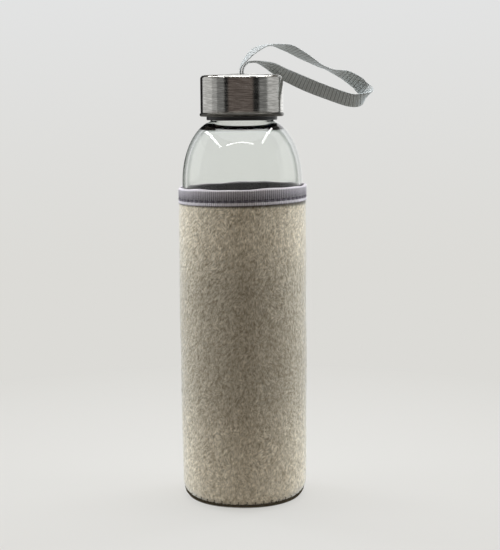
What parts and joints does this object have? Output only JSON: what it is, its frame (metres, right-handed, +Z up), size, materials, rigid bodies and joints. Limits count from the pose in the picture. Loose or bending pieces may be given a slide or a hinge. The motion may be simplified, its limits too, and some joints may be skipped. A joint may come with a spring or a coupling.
{
  "type": "glass water bottle",
  "caption": "Glass water bottle with a screw-on steel cap, a flat webbing carry strap through the cap, and a fitted plush sleeve with a bound edge.",
  "frame": {"origin": "centre of the underside of the sleeve's base, on the surface the bottle stands on", "axes": "+Z up along the bottle's axis; +X towards the side that the strap leans to; +Y to the back, where the sleeve's seam is"},
  "size_m": [0.1083, 0.0698, 0.248],
  "materials": {
    "plush": "short-pile velour, brushed and slightly crushed",
    "foam": "knit-faced foam laminate",
    "thread": "spun polyester sewing thread",
    "binding": "ribbed folded binding tape",
    "glass": "clear polished borosilicate",
    "steel": "brushed round its axis",
    "liner": "fine moulded matte",
    "silicone": "satin translucent",
    "webbing": "ribbed flat woven webbing"
  },
  "bodies": {
    "sleeve": {"sleeve_cover": "plush", "sleeve_lining": "foam", "side_seam_thread": "thread", "base_disc": "foam", "base_overlock": "thread", "edge_binding": "binding", "binding_stitch": "thread"},
    "bottle": {"glass_bottle": "glass"},
    "strap_anchor": {"strap_knot": "webbing"},
    "cap": {"cap_shell": "steel", "cap_liner": "liner", "gasket": "silicone"},
    "strap": {"strap_loop": "webbing"}
  },
  "joints": [
    {"name": "bottle_lift", "type": "slide", "parent": "sleeve", "child": "bottle", "axis": [0, 0, 1], "range_m": [0, 0.19]},
    {"name": "cap_lift", "type": "slide", "parent": "bottle", "child": "strap_anchor", "axis": [0, 0, 1], "range_m": [0, 0.0211]},
    {"name": "cap_turn", "type": "hinge", "parent": "strap_anchor", "child": "cap", "pos_m": [0, 0, 0.2091], "axis": [0, 0, 1], "range_deg": [0, 1800]},
    {"name": "strap_swing", "type": "hinge", "parent": "strap_anchor", "child": "strap", "pos_m": [0, 0, 0.2336], "axis": [0, -1, 0], "range_deg": [0, 100]}
  ],
  "couplings": [
    {"joint": "cap_lift", "follows": "cap_turn", "m_per_rad": 0.00066845}
  ]
}
